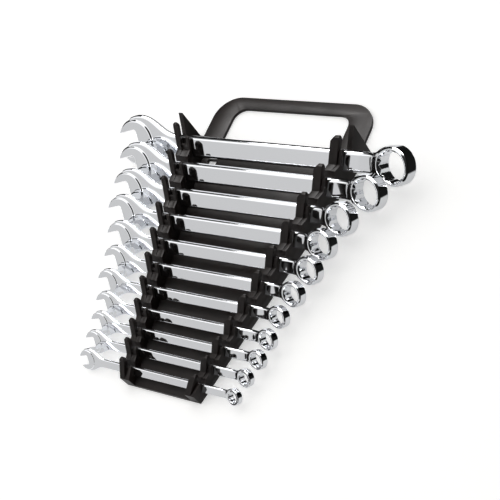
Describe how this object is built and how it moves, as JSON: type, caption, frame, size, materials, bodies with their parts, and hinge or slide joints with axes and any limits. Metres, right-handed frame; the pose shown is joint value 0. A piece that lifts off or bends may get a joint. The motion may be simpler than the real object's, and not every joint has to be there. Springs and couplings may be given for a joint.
{
  "type": "wrench set with rack",
  "caption": "Combination wrenches with open and twelve-point ends, seated one above the other in a moulded carry rack with a handle.",
  "frame": {"origin": "middle of the back panel's rear face, on which the rack lies", "axes": "+X along the wrenches towards their box ends, +Y up the panel towards the handle, +Z out of the panel's front"},
  "size_m": [0.2597, 0.2412, 0.0339],
  "materials": {
    "rack": "black moulded plastic, lightly textured",
    "chrome": "polished chrome plate"
  },
  "bodies": {
    "root": {"rack": "rack", "wrench_3_4": "chrome", "wrench_11_16": "chrome", "wrench_5_8": "chrome", "wrench_9_16": "chrome", "wrench_1_2": "chrome", "wrench_7_16": "chrome", "wrench_3_8": "chrome", "wrench_11_32": "chrome", "wrench_5_16": "chrome", "wrench_9_32": "chrome", "wrench_1_4": "chrome"}
  },
  "joints": []
}
